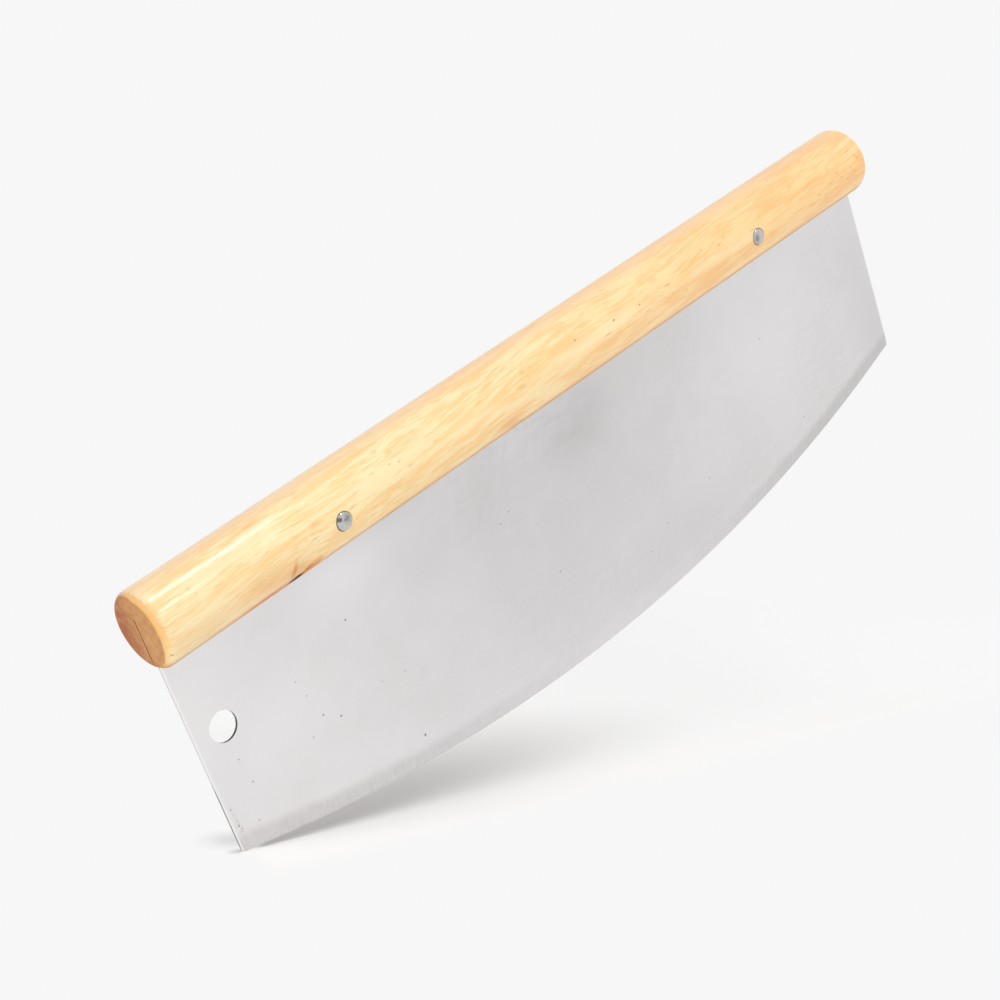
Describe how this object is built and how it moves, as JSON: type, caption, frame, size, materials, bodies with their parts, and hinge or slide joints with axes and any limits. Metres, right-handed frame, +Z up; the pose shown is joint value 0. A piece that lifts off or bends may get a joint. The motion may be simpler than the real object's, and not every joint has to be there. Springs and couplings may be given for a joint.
{
  "type": "rocking pizza knife",
  "caption": "Long rocking knife: a steel blade with a curved, ground cutting edge and a hanging hole, held in a slot along a round wooden grip by two rivets.",
  "frame": {"origin": "the lowest point of the cutting edge, in the middle of the knife's length and of its thickness", "axes": "+X along the grip, away from the end with the hanging hole; +Y through the blade's thickness, away from the side with the rivet studs' heads; +Z up from the cutting edge to the grip"},
  "size_m": [0.355, 0.027, 0.1182],
  "materials": {
    "handle_wood": "pale fine-grained hardwood under a clear gloss lacquer",
    "blade_steel": "pale satin stainless sheet with a darker ground band along the edge",
    "rivet_metal": "bright, polished on the heads"
  },
  "bodies": {
    "root": {"handle": "handle_wood", "blade": "blade_steel", "rivet_stud_left": "rivet_metal", "rivet_sleeve_left": "rivet_metal", "rivet_stud_right": "rivet_metal", "rivet_sleeve_right": "rivet_metal"}
  },
  "joints": []
}
